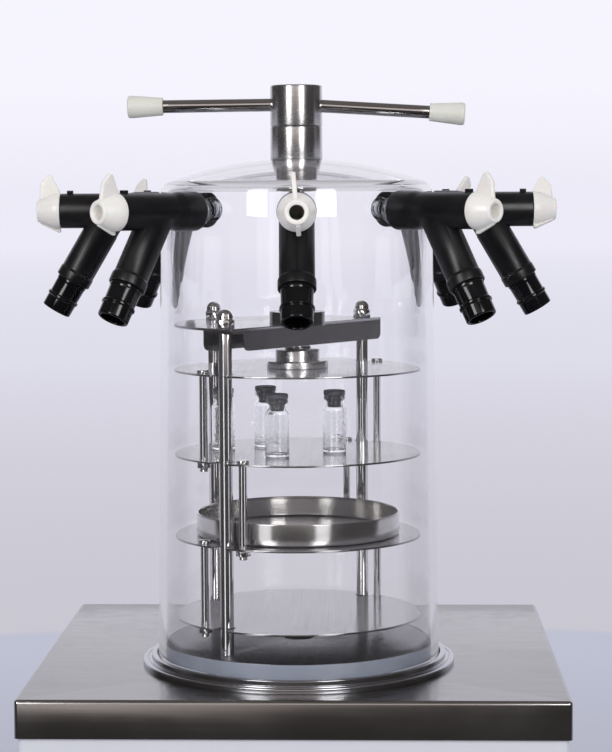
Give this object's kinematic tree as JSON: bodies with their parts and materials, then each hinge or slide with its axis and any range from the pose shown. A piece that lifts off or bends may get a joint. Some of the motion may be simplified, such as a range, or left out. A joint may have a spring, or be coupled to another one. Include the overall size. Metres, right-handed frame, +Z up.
{
  "type": "freeze dryer",
  "caption": "Bench freeze dryer with a clear domed drying chamber, a ring of flask valves and a screw-pressed shelf rack on a cabinet with a cold trap.",
  "frame": {"origin": "on the bench, at the bottom centre of the whole dryer's box", "axes": "+Z up, +X to the right seen from the front, +Y towards the rear"},
  "size_m": [0.424, 0.4761, 0.819],
  "materials": {
    "clear_acrylic": "clear, polished",
    "smoke_spigot": "translucent grey",
    "valve_rubber": "satin black",
    "socket_rubber": "glossy black",
    "ivory_plastic": "moulded ivory",
    "polished_steel": "polished stainless",
    "rack_steel": "fine turned stainless",
    "shelf_steel": "bright rolled stainless",
    "deck_steel": "brushed stainless",
    "cast_bridge": "dark folded stainless",
    "tray_steel": "spun stainless",
    "vial_glass": "clear glass",
    "stopper_rubber": "grey rubber",
    "seal_silicone": "translucent silicone",
    "panel_paint": "light grey powder coat",
    "foot_rubber": "black rubber",
    "copper_tube": "bare copper",
    "foam": "closed-cell foam",
    "compressor_paint": "black enamel",
    "fin_metal": "plain finned aluminium",
    "black_plastic": "moulded black",
    "lever_plastic": "dipped red",
    "screen_black": "black glass face"
  },
  "bodies": {
    "cabinet_body": {"deck": "deck_steel", "cabinet": "panel_paint", "chassis": "panel_paint", "feet": "foot_rubber", "cold_trap": "shelf_steel", "evaporator_coil": "copper_tube", "insulation": "foam", "compressor": "compressor_paint", "condenser": "fin_metal", "vacuum_port": "rack_steel", "drain_valve": "rack_steel", "power_inlet": "black_plastic", "touch_panel": "screen_black", "base_ring": "shelf_steel", "drum_seal": "seal_silicone", "base_plate": "cast_bridge", "rack_posts": "rack_steel", "rack_nuts": "polished_steel", "top_plate": "shelf_steel", "bridge": "cast_bridge"},
    "drum_body": {"drum": "clear_acrylic", "valve_spigots": "smoke_spigot", "flask_sockets": "socket_rubber", "hub_bushing": "polished_steel", "hub_nut": "rack_steel", "valve_body_1": "valve_rubber", "valve_body_2": "valve_rubber", "valve_body_3": "valve_rubber", "valve_body_4": "valve_rubber", "valve_body_5": "valve_rubber", "valve_body_6": "valve_rubber", "valve_body_7": "valve_rubber", "valve_body_8": "valve_rubber"},
    "handle_body": {"handle_hub": "polished_steel", "drive_shaft": "rack_steel", "handle_rods": "polished_steel", "handle_caps": "ivory_plastic"},
    "press_body": {"press_plate": "shelf_steel", "press_bearing": "rack_steel", "upper_guides": "rack_steel"},
    "screw_body": {"press_screw": "rack_steel"},
    "upper_tier": {"upper_shelf": "shelf_steel", "middle_guides": "rack_steel", "vials": "vial_glass", "vial_stoppers": "stopper_rubber"},
    "middle_tier": {"middle_shelf": "shelf_steel", "lower_guides": "rack_steel", "tray": "tray_steel"},
    "lower_tier": {"lower_shelf": "shelf_steel"},
    "fan_body": {"fan_rotor": "black_plastic"},
    "lever_body": {"drain_lever": "lever_plastic"},
    "rocker_body": {"power_rocker": "black_plastic"},
    "knob_body_1": {"valve_knob_1": "ivory_plastic"},
    "knob_body_2": {"valve_knob_2": "ivory_plastic"},
    "knob_body_3": {"valve_knob_3": "ivory_plastic"},
    "knob_body_4": {"valve_knob_4": "ivory_plastic"},
    "knob_body_5": {"valve_knob_5": "ivory_plastic"},
    "knob_body_6": {"valve_knob_6": "ivory_plastic"},
    "knob_body_7": {"valve_knob_7": "ivory_plastic"},
    "knob_body_8": {"valve_knob_8": "ivory_plastic"}
  },
  "joints": [
    {"name": "drum_lift", "type": "slide", "parent": "cabinet_body", "child": "drum_body", "axis": [0, 0, 1], "range_m": [0, 0.3]},
    {"name": "handle_turn", "type": "hinge", "parent": "drum_body", "child": "handle_body", "pos_m": [0, -0.028, 0.8], "axis": [0, 0, -1], "range_deg": [0, 900]},
    {"name": "press_slide", "type": "slide", "parent": "cabinet_body", "child": "press_body", "axis": [0, 0, -1], "range_m": [0, 0.01]},
    {"name": "screw_turn", "type": "hinge", "parent": "press_body", "child": "screw_body", "pos_m": [0, -0.028, 0.61], "axis": [0, 0, -1], "range_deg": [0, 900]},
    {"name": "upper_tier_slide", "type": "slide", "parent": "press_body", "child": "upper_tier", "axis": [0, 0, 1], "range_m": [0, 0.016]},
    {"name": "middle_tier_slide", "type": "slide", "parent": "upper_tier", "child": "middle_tier", "axis": [0, 0, 1], "range_m": [0, 0.025]},
    {"name": "lower_tier_slide", "type": "slide", "parent": "middle_tier", "child": "lower_tier", "axis": [0, 0, 1], "range_m": [0, 0.025]},
    {"name": "fan_spin", "type": "hinge", "parent": "cabinet_body", "child": "fan_body", "pos_m": [0.1, 0.182, 0.113], "axis": [0, 1, 0], "continuous": true},
    {"name": "drain_lever_turn", "type": "hinge", "parent": "cabinet_body", "child": "lever_body", "pos_m": [0, -0.1927, 0.1755], "axis": [0, 0, -1], "range_deg": [0, 90]},
    {"name": "rocker_tilt", "type": "hinge", "parent": "cabinet_body", "child": "rocker_body", "pos_m": [-0.12, 0.2117, 0.091], "axis": [-1, 0, 0], "range_deg": [0, 16]},
    {"name": "knob_1_turn", "type": "hinge", "parent": "drum_body", "child": "knob_body_1", "pos_m": [0.00698, -0.22788, 0.719], "axis": [0.0349, -0.9994, 0], "range_deg": [0, 180]},
    {"name": "knob_2_turn", "type": "hinge", "parent": "drum_body", "child": "knob_body_2", "pos_m": [0.14627, -0.1644, 0.719], "axis": [0.7314, -0.682, 0], "range_deg": [0, 180]},
    {"name": "knob_3_turn", "type": "hinge", "parent": "drum_body", "child": "knob_body_3", "pos_m": [0.19988, -0.02102, 0.719], "axis": [0.9994, 0.0349, 0], "range_deg": [0, 180]},
    {"name": "knob_4_turn", "type": "hinge", "parent": "drum_body", "child": "knob_body_4", "pos_m": [0.1364, 0.11827, 0.719], "axis": [0.682, 0.7314, 0], "range_deg": [0, 180]},
    {"name": "knob_5_turn", "type": "hinge", "parent": "drum_body", "child": "knob_body_5", "pos_m": [-0.00698, 0.17188, 0.719], "axis": [-0.0349, 0.9994, 0], "range_deg": [0, 180]},
    {"name": "knob_6_turn", "type": "hinge", "parent": "drum_body", "child": "knob_body_6", "pos_m": [-0.14627, 0.1084, 0.719], "axis": [-0.7314, 0.682, 0], "range_deg": [0, 180]},
    {"name": "knob_7_turn", "type": "hinge", "parent": "drum_body", "child": "knob_body_7", "pos_m": [-0.19988, -0.03498, 0.719], "axis": [-0.9994, -0.0349, 0], "range_deg": [0, 180]},
    {"name": "knob_8_turn", "type": "hinge", "parent": "drum_body", "child": "knob_body_8", "pos_m": [-0.1364, -0.17427, 0.719], "axis": [-0.682, -0.7314, 0], "range_deg": [0, 180]}
  ],
  "couplings": [
    {"joint": "press_slide", "follows": "handle_turn", "m_per_rad": 0.000636},
    {"joint": "screw_turn", "follows": "handle_turn", "ratio": 1}
  ]
}
